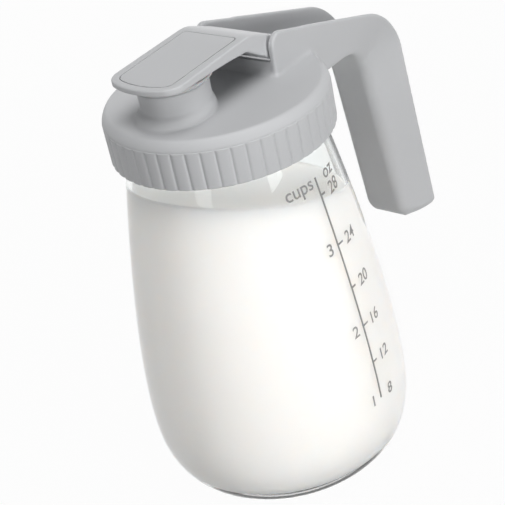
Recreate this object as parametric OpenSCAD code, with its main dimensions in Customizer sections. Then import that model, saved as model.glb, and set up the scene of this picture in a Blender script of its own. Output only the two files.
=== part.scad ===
// Milk storage pitcher: a glass jar with a screw lid that carries a spout,
// a channel-section handle and a flip cap with a silicone plug.
// Origin at the centre of the base, +Z up, spout towards -Y, handle towards +Y.

/* [Jar] */
// Radius of the flat that the jar stands on
base_r = 33.5; // [30:0.5:37]
// Widest outside radius of the jar
belly_r = 52.9; // [50:0.1:56]
// Height of the widest ring
belly_z = 31.4; // [26:0.1:38]
// Roundness of the lower corner, 2 is an ellipse
corner_power = 2.65; // [2.2:0.05:3.2]
// Step from the neck out to the shoulder at the lid's lower edge
shoulder_step = 1; // [0.4:0.1:1.4]
// Height of the shoulder at the lid's lower edge
shoulder_z = 143.8; // [135:0.1:155]
// Wall thickness of the jar
jar_wall = 2; // [1.5:0.1:2.6]
// Thickness of the jar's base above the standing ring
jar_base_t = 5; // [3.5:0.1:8]
// Height of the hollow under the base
punt_h = 1.2; // [0.6:0.1:2.5]

/* [Neck and thread] */
// Outside radius of the threaded neck
neck_r = 36.2; // [35.8:0.1:36.4]
// Height of the neck above the shoulder
neck_h = 13.8; // [13:0.1:16]
// Rise of the thread in one turn
thread_lead = 4; // [3.6:0.1:4.6]
// Turns of thread on the neck and in the lid
thread_turns = 1; // [0.8:0.05:1.1]
// Height of each thread ridge out of its wall
thread_depth = 1.9; // [1.7:0.05:2]
// Width of a thread ridge at its root
thread_root_w = 1.6; // [1.2:0.05:1.8]
// Width of a thread ridge at its crest
thread_crest_w = 0.9; // [0.5:0.05:1.1]

/* [Lid] */
// Gap between the neck and the skirt's bore, which holds both threads
neck_gap = 3.1; // [2.9:0.1:3.4]
// Thickness of the skirt between the thread wall and the rib crests
skirt_wall = 3.2; // [2.6:0.1:3.4]
// Number of grip ribs round the skirt
rib_count = 50; // [36:1:64]
// Depth of the step between two ribs
rib_depth = 0.6; // [0.3:0.05:0.8]
// Height of the ribbed band
rib_band_h = 14.4; // [12:0.1:15]
// Height of the rim above the lid's lower edge
rim_h = 19.6; // [18.8:0.1:22]
// Distance of the rim's crest inside the rib crests
rim_crest_in = 3.1; // [2.6:0.1:4]
// Depth of the dish inside the rim
dish_depth = 2; // [1:0.1:2.6]

/* [Spout] */
// Distance of the spout's axis in front of the jar's axis
spout_offset = 19.2; // [17.5:0.1:20]
// Outside radius of the spout
spout_r = 13; // [12.5:0.1:13.2]
// Wall thickness of the spout
spout_wall = 2; // [1.5:0.1:2.5]
// Height of the spout above the dish
spout_h = 12.6; // [11.6:0.1:13]
// Radius added by the flare at the spout's foot
spout_flare = 3.2; // [2:0.1:4]

/* [Handle] */
// Half width of the handle's walls at the hinge
handle_half_w = 18.4; // [18:0.1:19]
// Half width of the handle at its grip
grip_half_w = 15.5; // [14:0.1:16.5]
// Thickness of the handle's walls and web
handle_wall = 2.4; // [2:0.1:2.6]
// Height of the arm's underside above the lid's lower edge
arm_under_h = 5.7; // [4:0.1:7]
// Downward slope of the arm's top edge, in degrees
arm_slope = 17.8; // [14:0.1:20]
// Outward lean of the grip's front face, in degrees
grip_lean = 7.6; // [5:0.1:9]
// Outward lean of the grip's rear edge, in degrees
grip_back_lean = 6.3; // [4:0.1:8]
// Distance from the jar's axis to the grip's front face at the arm's height
grip_y = 77; // [74:0.1:82]
// Depth of the grip from its front face to its rear edge, at the arm's height
grip_depth = 17.1; // [12:0.1:20]
// Inside radius of the bend between arm and grip
bend_r = 22; // [18:0.5:26]
// Outside radius of the bend between arm and grip
bend_outer_r = 23; // [18:0.5:28]
// Depth of the grip's end below the arm's underside
grip_drop = 95.3; // [80:0.1:110]
// Radius of the grip's front corners
grip_nose_r = 6; // [4:0.1:10]
// Splay of the grip's side walls, in degrees
grip_splay = 21; // [10:1:28]
// Splay of the arm's side walls, in degrees
arm_splay = 3; // [0:0.5:5]
// Radius of the walls' round front about the hinge axis
wall_front_r = 6.2; // [5.6:0.1:7]
// Thickness of the cross wall under the hinge
cross_wall_t = 1.8; // [1.4:0.1:2.4]

/* [Hinge] */
// Distance of the hinge axis behind the jar's axis
hinge_y = 18.2; // [17:0.1:20]
// Height of the hinge axis above the lid's rim
hinge_up = 8.8; // [8:0.1:10]
// Radius of the cap's knuckle
knuckle_r = 4.4; // [3.8:0.1:4.6]
// Radius of the cap's trunnions
trunnion_r = 2; // [1.5:0.1:2.5]
// Radial clearance of a trunnion in its socket
trunnion_gap = 0.06; // [0.03:0.01:0.1]
// Depth of a trunnion's socket in the handle's wall
socket_depth = 1.2; // [1:0.1:1.5]
// Half width of the knuckle between the handle's walls
knuckle_half_w = 15.05; // [14.6:0.05:15.2]

/* [Flip cap] */
// Half width of the cap's plate
cap_half_w = 15.7; // [15:0.1:16]
// Reach of the plate's front edge from the hinge axis
cap_reach = 56; // [52:0.1:60]
// Height of the plate's top above the hinge axis at its rear
cap_rise = 9.3; // [8:0.1:10]
// Upward slope of the plate's top towards the hinge, in degrees
cap_slope = 2.6; // [0:0.1:4]
// Thickness of the plate at its front edge
cap_front_t = 1.9; // [1.2:0.1:2.4]
// Distance from the hinge axis to the plate's top rear edge
cap_rear_run = 11.2; // [9:0.1:13]
// Distance from the hinge axis to the deepest point of the plate's sides
cap_deep_run = 10.9; // [9:0.1:13]
// Height of that deepest point above the hinge axis
cap_deep_up = 2.7; // [1:0.1:4]
// Radius of the plate's front corners
cap_corner_r = 7; // [4:0.1:9]
// Radius of the plate's front edge
cap_front_r = 32; // [24:0.5:60]
// Margin from the plate's edge to the inlay
inlay_margin = 3; // [2.4:0.1:4]
// Length of the inlay
inlay_len = 39; // [34:0.1:41]
// Thickness of the inlay
inlay_t = 1; // [0.8:0.05:1.2]
// Gap round the inlay
inlay_gap = 0.2; // [0.1:0.05:0.3]

/* [Seals] */
// Thickness of the gasket under the lid's top
gasket_t = 1.4; // [1:0.1:1.8]
// Radial width of the gasket
gasket_w = 4.4; // [3:0.1:4.8]
// Radius of the plug's flange over the spout
flange_r = 14.2; // [13.4:0.1:14.6]
// Thickness of the plug's flange
flange_t = 2.2; // [1.6:0.1:2.6]
// Depth that the plug reaches into the spout
plug_depth = 4.5; // [3:0.1:6]
// Radial gap of the plug in the spout
plug_gap = 0.35; // [0.3:0.05:0.6]
// Radius of the plug's stem through the cap
stem_r = 3; // [2:0.1:4]
// Gap between the neck's bore and the ring that holds the gasket
gasket_ring_gap = 1.2; // [1.1:0.05:1.6]

/* [Hidden] */
$fn = 96;
seat_gap = 0.2;
free_height = 150;

// Radii that follow from the neck
shoulder_r = neck_r + shoulder_step;
neck_bore_r = neck_r - jar_wall;
lid_bore_r = neck_r + neck_gap;
lid_r = lid_bore_r + skirt_wall;
rim_crest_r = lid_r - rim_crest_in;
gasket_r = neck_bore_r - 1;
gasket_ring_r = neck_bore_r - gasket_ring_gap;

// Jar levels
rim_top_z = shoulder_z + neck_h;
thread_up = 5.2;
thread_z = shoulder_z + thread_up;

// Lid levels and radii
skirt_z = shoulder_z;
ceiling_z = rim_top_z + gasket_t;
rim_z = skirt_z + rim_h;
dish_z = rim_z - dish_depth;
rib_root_r = lid_r - rib_depth;
dish_floor_r = rim_crest_r - 6;

// Spout levels
spout_top_z = dish_z + spout_h;
spout_bore_r = spout_r - spout_wall;

// Hinge and handle outline in the Y Z plane
hinge_z = rim_z + hinge_up;
arm_z = skirt_z + arm_under_h;
arm_dir = [cos(arm_slope), -sin(arm_slope)];
arm_normal = [sin(arm_slope), cos(arm_slope)];
arm_top_pt = [hinge_y, hinge_z] + wall_front_r * arm_normal;
back_dir = [sin(grip_back_lean), -cos(grip_back_lean)];
back_normal = [cos(grip_back_lean), sin(grip_back_lean)];
back_pt = [grip_y + grip_depth, arm_z];
bend_turn = 90 - grip_lean;
taper_run = 60.8;
bend_y = grip_y - bend_r * (sin(bend_turn) - tan(grip_lean) * (1 - cos(bend_turn)));

// Cap levels
cap_top_rear_y = hinge_y - cap_rear_run;
cap_top_rear_z = hinge_z + cap_rise;
cap_front_y = hinge_y - cap_reach;
cap_seat_y = -spout_offset + 8.4;
cap_seat_z = spout_top_z + seat_gap + flange_t;
socket_end = handle_half_w - handle_wall + socket_depth;
trunnion_tip = socket_end - 0.3;
head_r = stem_r + 2;
head_t = 0.9;
head_z = cap_top_rear_z - (spout_offset + cap_top_rear_y) * tan(cap_slope) - inlay_t - head_t - 0.3;

function circle_pts(c, r, a0, a1, n) =
    [for (i = [0 : n]) let (a = a0 + (a1 - a0) * i / n) c + r * [cos(a), sin(a)]];

function bezier(p, t) =
    pow(1 - t, 3) * p[0] + 3 * t * pow(1 - t, 2) * p[1] + 3 * t * t * (1 - t) * p[2] + pow(t, 3) * p[3];

// Lower corner of the jar: a superellipse from the base to the belly
function corner_pts(r0, r1, z0, n) =
    [for (i = [0 : n]) let (a = 90 * i / n)
        [r0 + (r1 - r0) * pow(sin(a), 2 / corner_power),
         belly_z - (belly_z - z0) * pow(cos(a), 2 / corner_power)]];

// Side of the jar from the belly up to the shoulder
function side_pts(inset, n) =
    let (up = shoulder_z - belly_z)
    [for (i = [1 : n]) bezier([[belly_r - inset, belly_z],
                               [belly_r - inset, belly_z + 0.24 * up],
                               [belly_r - 0.48 * (belly_r - shoulder_r) - inset, belly_z + 0.67 * up],
                               [shoulder_r - inset, shoulder_z]], i / n)];

// A helical ridge: z_mid is the height of its lower end, crest and root are radii
module thread(root_r, crest_r, z_mid) {
    steps = ceil(36 * thread_turns);
    run_in = 3;
    pts = [for (i = [0 : steps])
        let (a = 360 * thread_turns * i / steps,
             z = z_mid + thread_lead * a / 360,
             k = min(1, min(i, steps - i) / run_in),
             r = root_r + (crest_r - root_r) * (0.2 + 0.8 * k))
        each [for (c = [[root_r, -thread_root_w], [r, -thread_crest_w],
                        [r, thread_crest_w], [root_r, thread_root_w]])
            [c[0] * cos(a), c[0] * sin(a), z + c[1] / 2]]];
    inward = crest_r < root_r;
    sides = [for (i = [0 : steps - 1], j = [0 : 3])
        let (a = 4 * i + j, b = 4 * i + (j + 1) % 4)
        each [[a, b, b + 4], [a, b + 4, a + 4]]];
    last = 4 * steps;
    ends = [[0, 2, 1], [0, 3, 2], [last, last + 1, last + 2], [last, last + 2, last + 3]];
    polyhedron([for (p = pts) p],
               [for (f = concat(sides, ends)) inward ? [f[2], f[1], f[0]] : f]);
}

module jar() {
    color([0.86, 0.9, 0.92, 0.45]) {
        rotate_extrude() polygon(concat(
            [[0, punt_h], [base_r - 8, punt_h], [base_r - 5, 0]],
            corner_pts(base_r, belly_r, 0, 18),
            side_pts(0, 18),
            [[neck_r, shoulder_z + 2.4], [neck_r, rim_top_z - 0.6], [neck_r - 0.6, rim_top_z],
             [neck_bore_r + 0.4, rim_top_z], [neck_bore_r, rim_top_z - 0.4],
             [neck_bore_r, shoulder_z + 2.4]],
            [for (i = [17 : -1 : 0]) side_pts(jar_wall, 18)[i]],
            [for (i = [18 : -1 : 0]) corner_pts(base_r - 4, belly_r - jar_wall, jar_base_t, 18)[i]],
            [[0, jar_base_t]]));
        thread(neck_r - 0.4, neck_r + thread_depth, thread_z);
    }
}

module lid_gasket() {
    color([0.82, 0.83, 0.83])
        rotate_extrude() polygon([
            [gasket_r, rim_top_z], [gasket_r + gasket_w, rim_top_z],
            [gasket_r + gasket_w, ceiling_z], [gasket_r, ceiling_z]]);
}

// Ribbed band: each rib rises from its root to its crest and steps down
module ribs() {
    pitch = 360 / rib_count;
    step = 0.12 * pitch;
    translate([0, 0, skirt_z]) linear_extrude(rib_band_h) polygon(
        [for (i = [0 : rib_count - 1]) each [
            rib_root_r * [cos(i * pitch), sin(i * pitch)],
            (lid_r - 0.12) * [cos(i * pitch + step), sin(i * pitch + step)],
            lid_r * [cos(i * pitch + 0.6 * pitch), sin(i * pitch + 0.6 * pitch)],
            (lid_r - 0.12) * [cos((i + 1) * pitch - step / 2), sin((i + 1) * pitch - step / 2)]]]);
}

// Solid of the lid without its hollow: the rim's roll, the dish and the skirt
module lid_body() {
    ribs();
    rotate_extrude() polygon(concat(
        [[0, skirt_z + 0.4], [rib_root_r - 0.4, skirt_z + 0.4], [rib_root_r - 0.4, skirt_z + rib_band_h - 1],
         [rib_root_r - 0.06, skirt_z + rib_band_h - 0.6]],
        circle_pts([rim_crest_r - 0.4, rim_z - 3], 2.9, 15, 90, 6),
        [[rim_crest_r - 1.2, rim_z], [rim_crest_r - 2.4, rim_z - 0.35],
         [dish_floor_r, dish_z + 0.25], [dish_floor_r - 4, dish_z], [0, dish_z]]));
}

module spout_body() {
    translate([0, -spout_offset, 0]) rotate_extrude() polygon(concat(
        [[0, dish_z - 0.5], [spout_r + spout_flare + 1.2, dish_z - 0.5]],
        [[spout_r + spout_flare + 0.6, dish_z + 0.3], [spout_r + spout_flare - 0.4, dish_z + 1]],
        circle_pts([spout_r + spout_flare + 1, dish_z + 6], spout_flare + 1, 235, 180, 6),
        [[spout_r, spout_top_z - 0.5], [spout_r - 0.5, spout_top_z], [0, spout_top_z]]));
}

// Half section of the handle across its path: x is half width, y is depth from the web
function half_section(wo, h, v0, rn, splay, n) =
    let (cx = wo - (rn + (h - v0 - rn) * sin(splay)) / cos(splay))
    concat([[wo, h]], circle_pts([cx, v0 + rn], rn, -splay, -90, n));

function full_section(wo, h, v0, rn, splay, n) =
    let (half = half_section(wo, h, v0, rn, splay, n))
    concat(half, [for (i = [n + 1 : -1 : 0]) [-half[i][0], half[i][1]]]);

// Distance from p along dir to the outer edge line of the handle
function line_reach(p, dir, q, normal) = (normal * (q - p)) / (normal * dir);
function corner_arc() =
    let (cross_y = (arm_normal * arm_top_pt * back_normal[1] - back_normal * back_pt * arm_normal[1])
                   / (arm_normal[0] * back_normal[1] - back_normal[0] * arm_normal[1]),
         cross_z = (arm_normal * arm_top_pt - arm_normal[0] * cross_y) / arm_normal[1],
         run = bend_outer_r * tan((90 - arm_slope - grip_back_lean) / 2),
         from = [cross_y, cross_z] - run * arm_dir,
         to = [cross_y, cross_z] + run * back_dir)
    [from, to, from - bend_outer_r * arm_normal];
function arc_reach(p, dir) =
    let (d = p - corner_arc()[2], b = d * dir)
    sqrt(b * b - d * d + bend_outer_r * bend_outer_r) - b;
function edge_reach(p, dir) =
    let (arc = corner_arc(),
         h = min(line_reach(p, dir, arm_top_pt, arm_normal), line_reach(p, dir, back_pt, back_normal)),
         q = p + h * dir)
    (q[0] > arc[0][0] && q[1] > arc[1][1]) ? arc_reach(p, dir) : h;

function wall_half_w(y) =
    max(grip_half_w, handle_half_w - (y - hinge_y) * (handle_half_w - grip_half_w) / taper_run);

// Stations along the web's outer face: [point, direction to the open side, 0 to 1 from arm to grip]
arm_steps = 3;
bend_steps = 9;
grip_steps = 4;
end_steps = 5;
end_r = 7;
arm_start_y = hinge_y - wall_front_r;
bend_end = [bend_y + bend_r * sin(bend_turn), arm_z - bend_r * (1 - cos(bend_turn))];
grip_run = (grip_drop - bend_r * (1 - cos(bend_turn))) / cos(grip_lean);
stations = concat(
    [for (i = [0 : arm_steps]) [[arm_start_y + (bend_y - arm_start_y) * i / arm_steps, arm_z], [0, 1], 0]],
    [for (i = [1 : bend_steps]) let (a = bend_turn * i / bend_steps)
        [[bend_y + bend_r * sin(a), arm_z - bend_r * (1 - cos(a))], [sin(a), cos(a)], i / bend_steps]],
    [for (i = [1 : grip_steps]) let (s = (grip_run - end_r) * i / grip_steps)
        [bend_end + s * [sin(grip_lean), -cos(grip_lean)], [cos(grip_lean), sin(grip_lean)], 1]]);

function lerp(a, b, t) = a + (b - a) * t;
function nose_r(t) = lerp(2, grip_nose_r, t);
function splay_at(t) = lerp(arm_splay, grip_splay, t);
arc_n = 6;

// Closed solid through rings of equal length
module loft(rings) {
    n = len(rings[0]);
    m = len(rings);
    polyhedron([for (r = rings, p = r) p],
        concat([for (i = [0 : m - 2], j = [0 : n - 1]) let (a = i * n + j, b = i * n + (j + 1) % n)
                    each [[b, a, b + n], [b + n, a, a + n]]],
               [[for (j = [0 : n - 1]) j]],
               [[for (j = [0 : n - 1]) m * n - 1 - j]]));
}

function place(p, dir, sec) = [for (s = sec) [s[0], p[0] + dir[0] * s[1], p[1] + dir[1] * s[1]]];

// Outer form of the handle, rounded off at the grip's end
module handle_outer() {
    last = stations[len(stations) - 1];
    down = [sin(grip_lean), -cos(grip_lean)];
    rings = [for (s = stations)
        place(s[0], s[1], full_section(wall_half_w(s[0][0]), edge_reach(s[0], s[1]), 0,
                                       nose_r(s[2]), splay_at(s[2]), arc_n))];
    tips = [for (i = [1 : end_steps])
        let (a = 80 * i / end_steps, cut = end_r * (1 - cos(a)) * 0.6, p = last[0] + end_r * sin(a) * down,
             h = edge_reach(p, last[1]))
        place(p, last[1], full_section(grip_half_w - cut - cut * sin(grip_splay), h - cut, cut,
                                       grip_nose_r - 0.5 * cut, grip_splay, arc_n))];
    loft(concat(rings, tips));
}

// Channel inside the handle, open on the outer side
module handle_channel() {
    over = 12; // the channel's cutter stands clear of the open side
    t = handle_wall;
    inner = [for (s = stations) let (h = edge_reach(s[0], s[1]), f = splay_at(s[2]), rn = nose_r(s[2]))
        place(s[0], s[1], full_section(wall_half_w(s[0][0]) - t / cos(f) + over * tan(f), h + over, t,
                                       max(0.8, rn - t), f, arc_n))];
    first = [for (p = inner[0]) [p[0], p[1] - 1, p[2]]];
    loft(concat([first], inner));
}

module handle_body() {
    difference() {
        handle_outer();
        handle_channel();
        // Round front of the two walls, about the hinge axis
        cut_w = handle_half_w + 6;
        translate([-cut_w, 0, 0]) rotate([90, 0, 90]) linear_extrude(2 * cut_w) difference() {
            translate([arm_start_y - 5, hinge_z]) square([5 + wall_front_r, wall_front_r + 5]);
            translate([hinge_y, hinge_z]) circle(wall_front_r);
        }
    }
    // Low cross wall that closes the channel under the knuckle
    front_y = hinge_y - 3;
    half_w = handle_half_w - handle_wall;
    top_z = hinge_z - knuckle_r - 0.5;
    translate([-half_w, 0, 0]) rotate([90, 0, 90]) linear_extrude(2 * half_w) polygon([
        [front_y - 3.2, dish_z - 0.5], [front_y - 0.8, dish_z + 2.4], [front_y, dish_z + 4.2],
        [front_y, top_z], [front_y + cross_wall_t, top_z], [front_y + cross_wall_t, dish_z - 0.5]]);
}

// Ring under the lid's top that locates the gasket
module gasket_ring() {
    translate([0, 0, ceiling_z - gasket_t - 0.6]) difference() {
        cylinder(r = gasket_ring_r, h = gasket_t + 1.2);
        translate([0, 0, -1]) cylinder(r = gasket_ring_r - 1.2, h = gasket_t + 4);
    }
}

module lid() {
    color([0.74, 0.745, 0.75]) {
        difference() {
            union() {
                lid_body();
                spout_body();
                handle_body();
            }
            translate([0, 0, skirt_z - 1]) cylinder(r = lid_bore_r, h = ceiling_z - skirt_z + 1);
            translate([0, -spout_offset, ceiling_z - 1])
                cylinder(r = spout_bore_r, h = spout_top_z - ceiling_z + 2);
            translate([-socket_end, hinge_y, hinge_z]) rotate([0, 90, 0])
                cylinder(r = trunnion_r + trunnion_gap, h = 2 * socket_end);
        }
        thread(lid_bore_r + 0.4, lid_bore_r - thread_depth, thread_z - thread_lead / 2);
        gasket_ring();
    }
}

// Plan of a plate with a bulged front edge, tip at y0, and half width hw1 at the rear edge y1
function plate_plan(hw, hw1, y0, y1, front_r, rc_front, rc_rear) =
    let (beta = asin((hw - rc_front) / (front_r - rc_front)),
         yk = y0 + front_r - (front_r - rc_front) * cos(beta))
    concat(circle_pts([hw1 - rc_rear, y1 - rc_rear], rc_rear, 90, 0, 4),
           circle_pts([hw - rc_front, yk], rc_front, 0, -90 + beta, 6),
           [for (i = [1 : 9]) let (a = -90 + beta - 2 * beta * i / 10)
               [front_r * cos(a), y0 + front_r + front_r * sin(a)]],
           circle_pts([rc_front - hw, yk], rc_front, -90 - beta, -180, 6),
           circle_pts([rc_rear - hw1, y1 - rc_rear], rc_rear, 180, 90, 4));

function cap_top_z(y) = cap_top_rear_z + (y - cap_top_rear_y) * tan(cap_slope);

// Side view of the cap's plate and its run-down to the knuckle
module cap_side() {
    polygon([
        [cap_front_y - 1, cap_top_z(cap_front_y) - cap_front_t],
        [cap_front_y - 1, cap_top_z(cap_front_y - 1)],
        [cap_top_rear_y, cap_top_rear_z],
        [cap_top_rear_y + 5.6, cap_top_rear_z - 1.9],
        [hinge_y + knuckle_r * cos(68), hinge_z + knuckle_r * sin(68)],
        [hinge_y, hinge_z],
        [hinge_y + knuckle_r * cos(235), hinge_z + knuckle_r * sin(235)],
        [hinge_y - cap_deep_run, hinge_z + cap_deep_up],
        [cap_seat_y, cap_seat_z + 0.8]]);
}

// Slab that follows the plate's sloping top
module top_slab(depth) {
    translate([-cap_half_w, 0, 0]) rotate([90, 0, 90]) linear_extrude(2 * cap_half_w) polygon([
        [cap_front_y, cap_top_z(cap_front_y) - depth], [cap_top_rear_y + 2, cap_top_z(cap_top_rear_y + 2) - depth],
        [cap_top_rear_y + 2, cap_top_z(cap_top_rear_y + 2) + 1], [cap_front_y, cap_top_z(cap_front_y) + 1]]);
}

module inlay_plan(gap) {
    hw = cap_half_w - inlay_margin + gap;
    y0 = cap_front_y + inlay_margin - gap;
    translate([0, 0, free_height]) linear_extrude(50)
        polygon(plate_plan(hw, hw, y0, y0 + inlay_len + 2 * gap, cap_front_r, cap_corner_r - inlay_margin, 1.5));
}

module flip_cap() {
    color([0.76, 0.765, 0.77]) difference() {
        union() {
            intersection() {
                translate([0, 0, free_height]) linear_extrude(50)
                    polygon(plate_plan(cap_half_w, knuckle_half_w, cap_front_y, hinge_y,
                                       cap_front_r, cap_corner_r, 0.01));
                translate([-cap_half_w, 0, 0]) rotate([90, 0, 90]) linear_extrude(2 * cap_half_w) cap_side();
            }
            translate([0, -spout_offset, cap_seat_z]) cylinder(r = flange_r - 0.5, h = 2);
            translate([-knuckle_half_w, hinge_y, hinge_z]) rotate([0, 90, 0])
                cylinder(r = knuckle_r, h = 2 * knuckle_half_w);
            translate([-trunnion_tip, hinge_y, hinge_z]) rotate([0, 90, 0])
                cylinder(r = trunnion_r, h = 2 * trunnion_tip);
        }
        intersection() {
            inlay_plan(inlay_gap);
            top_slab(inlay_t);
        }
        translate([0, -spout_offset, cap_seat_z - 1]) cylinder(r = stem_r + 0.1, h = 8);
        translate([0, -spout_offset, head_z - 0.1]) cylinder(r = head_r + 0.2, h = 8);
    }
}

module cap_inlay() {
    color([0.77, 0.775, 0.78]) intersection() {
        inlay_plan(0);
        difference() {
            top_slab(inlay_t);
            translate([-cap_half_w - 1, 0, 0]) rotate([90, 0, 90]) linear_extrude(2 * cap_half_w + 2) polygon([
                [cap_front_y - 1, cap_top_z(cap_front_y - 1)], [cap_top_rear_y + 3, cap_top_z(cap_top_rear_y + 3)],
                [cap_top_rear_y + 3, cap_top_rear_z + 3], [cap_front_y - 1, cap_top_rear_z + 3]]);
        }
    }
}

module spout_plug() {
    plug_r = spout_bore_r - plug_gap;
    flange_z = spout_top_z + seat_gap;
    color([0.84, 0.845, 0.85]) translate([0, -spout_offset, 0]) rotate_extrude() polygon([
        [0, flange_z - 1.2], [plug_r - 2.2, flange_z - 1.2], [plug_r - 2.2, flange_z - plug_depth],
        [plug_r - 1.2, flange_z - plug_depth], [plug_r - 0.2, flange_z - plug_depth + 1.4],
        [plug_r - 0.2, flange_z], [flange_r - 0.4, flange_z], [flange_r, flange_z + 0.4],
        [flange_r, cap_seat_z - 0.4], [flange_r - 0.4, cap_seat_z], [stem_r, cap_seat_z],
        [stem_r, head_z], [head_r, head_z], [head_r, head_z + head_t], [0, head_z + head_t]]);
}

jar();
lid_gasket();
lid();
flip_cap();
cap_inlay();
spout_plug();
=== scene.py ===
"""Looks of a handled milk storage pitcher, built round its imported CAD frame.

The jar is a clear glass revolve with a printed scale and a milk filling. The lid with its
spout and handle, and the flip cap, are distance fields sampled on a grid: every form is a
signed distance in millimetres, forms are joined and cut with rounded corners, and the zero
surface is meshed. Lengths are in millimetres until a mesh is made in metres.
"""

from __future__ import annotations

import logging
import math
from dataclasses import dataclass, field
from enum import Enum
from typing import Any, Callable, Sequence

import bpy
import numpy as np
import openvdb
from mathutils import Matrix, Vector

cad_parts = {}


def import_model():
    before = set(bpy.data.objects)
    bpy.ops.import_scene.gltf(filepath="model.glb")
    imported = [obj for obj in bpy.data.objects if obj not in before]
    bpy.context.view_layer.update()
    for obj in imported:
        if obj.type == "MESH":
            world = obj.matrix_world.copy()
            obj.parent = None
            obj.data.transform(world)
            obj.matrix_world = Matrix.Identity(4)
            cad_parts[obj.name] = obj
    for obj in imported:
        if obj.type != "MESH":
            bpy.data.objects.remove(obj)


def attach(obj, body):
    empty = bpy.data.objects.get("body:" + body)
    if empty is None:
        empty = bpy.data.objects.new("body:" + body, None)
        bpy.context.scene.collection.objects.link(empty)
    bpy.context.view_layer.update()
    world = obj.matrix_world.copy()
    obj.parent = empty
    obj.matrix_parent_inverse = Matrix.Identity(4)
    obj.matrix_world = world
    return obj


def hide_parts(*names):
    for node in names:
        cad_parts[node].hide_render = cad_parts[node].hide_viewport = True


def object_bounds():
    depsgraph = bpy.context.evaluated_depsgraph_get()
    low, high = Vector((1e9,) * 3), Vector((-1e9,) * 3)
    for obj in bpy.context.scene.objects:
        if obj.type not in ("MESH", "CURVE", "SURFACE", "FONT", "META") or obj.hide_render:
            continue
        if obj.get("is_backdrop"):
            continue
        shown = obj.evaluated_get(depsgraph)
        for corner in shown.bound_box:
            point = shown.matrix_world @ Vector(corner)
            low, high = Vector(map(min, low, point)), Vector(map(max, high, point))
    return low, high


log = logging.getLogger("pitcher")
Array = np.ndarray
Field = Callable[[Array, Array, Array], Array]
Object = bpy.types.Object
Material = bpy.types.Material
Colour = tuple[float, float, float]
Point = tuple[float, float, float]
Pair = tuple[float, float]
MM = 0.001
TURN = 2 * math.pi
WHITE = (1, 1, 1, 1)


class Body(Enum):
    """The rigid bodies of the frame that the pieces ride on."""

    JAR = "jar"
    GASKET = "gasket"
    LID = "lid"
    CAP = "cap"


# ---- distance fields


def rounded_cut(a: Array, b: Array, radius: float | Array) -> Array:
    """Keeps what lies inside both fields, with the corner rounded.

    Near the corner the distance is that to an arc: -r plus the length of (a + r, b + r).

    Args:
        a: First signed distance, negative inside.
        b: Second signed distance.
        radius: Radius of the rounded corner.

    Returns:
        The signed distance of the common part.
    """
    corner = np.hypot(np.maximum(a + radius, 0.0), np.maximum(b + radius, 0.0))
    return np.minimum(np.maximum(a, b), -radius) + corner


def rounded_join(a: Array, b: Array, radius: float | Array) -> Array:
    """Joins two fields with a fillet in the inner corner between them.

    The fillet is an arc: r minus the length of (r - a, r - b) where both are under r, which
    is the rounded cut of the two fields turned inside out.

    Args:
        a: First signed distance, negative inside.
        b: Second signed distance.
        radius: Radius of the fillet.

    Returns:
        The signed distance of the joined form.
    """
    return -rounded_cut(-a, -b, radius)


def blend_between(start: float, end: float, share: Array) -> Array:
    """Value that eases from start to end as share goes from 0 to 1."""
    eased = share * share * (3.0 - 2.0 * share)
    return start + (end - start) * eased


def softened(points: Sequence[Sequence[float]], rounds: int = 2) -> Array:
    """Corner-cuts an open chain of points: each edge keeps its 1/4 and 3/4 points.

    Args:
        points: The chain's corners.
        rounds: How often the corners are cut.

    Returns:
        The smooth chain, with both ends kept.
    """
    chain = np.asarray(points, float)
    for _ in range(rounds):
        near = 0.75 * chain[:-1] + 0.25 * chain[1:]
        far = 0.25 * chain[:-1] + 0.75 * chain[1:]
        middle = np.stack([near, far], 1).reshape(-1, 2)
        chain = np.concatenate([chain[:1], middle, chain[-1:]])
    return chain


@dataclass
class Outline:
    """A closed flat outline with its signed distance kept on a fine lattice."""

    points: Array
    pitch: float = 0.12
    margin: float = 4.0

    def __post_init__(self) -> None:
        """Works out the lattice of signed distances."""
        self.points = np.asarray(self.points, float)
        self.low = self.points.min(0) - self.margin
        high = self.points.max(0) + self.margin
        counts = np.ceil((high - self.low) / self.pitch).astype(int) + 1
        first = self.low[0] + self.pitch * np.arange(counts[0])
        second = self.low[1] + self.pitch * np.arange(counts[1])
        self.lattice = self._exact(*np.meshgrid(first, second, indexing="ij"))

    def _exact(self, p: Array, q: Array) -> Array:
        """Signed distance to the outline's edges: shortest distance, sign by crossings."""
        best = np.full(p.shape, 1e9)
        inside = np.zeros(p.shape, bool)
        ends = np.roll(self.points, -1, axis=0)
        for (ap, aq), (bp, bq) in zip(self.points, ends):
            run, rise = bp - ap, bq - aq
            length = run * run + rise * rise
            if length < 1e-12:
                continue
            share = np.clip(((p - ap) * run + (q - aq) * rise) / length, 0.0, 1.0)
            np.minimum(best, (p - ap - share * run) ** 2 + (q - aq - share * rise) ** 2, out=best)
            crosses = (aq > q) != (bq > q)
            if rise != 0.0:
                inside ^= crosses & (p < run * (q - aq) / rise + ap)
        distance = np.sqrt(best)
        return np.where(inside, -distance, distance)

    def at(self, p: Array, q: Array) -> Array:
        """Signed distance at any points, read from the lattice between its four neighbours.

        Args:
            p: First coordinates.
            q: Second coordinates, broadcast against the first.

        Returns:
            The signed distances; beyond the lattice the distance to it is added.
        """
        p, q = np.broadcast_arrays(p, q)
        u = (p - self.low[0]) / self.pitch
        v = (q - self.low[1]) / self.pitch
        nu, nv = self.lattice.shape
        cu, cv = np.clip(u, 0, nu - 1.001), np.clip(v, 0, nv - 1.001)
        i, j = cu.astype(np.int32), cv.astype(np.int32)
        fu, fv = cu - i, cv - j
        low = self.lattice[i, j] * (1 - fv) + self.lattice[i, j + 1] * fv
        high = self.lattice[i + 1, j] * (1 - fv) + self.lattice[i + 1, j + 1] * fv
        return low * (1 - fu) + high * fu + self.pitch * np.hypot(u - cu, v - cv)


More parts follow.
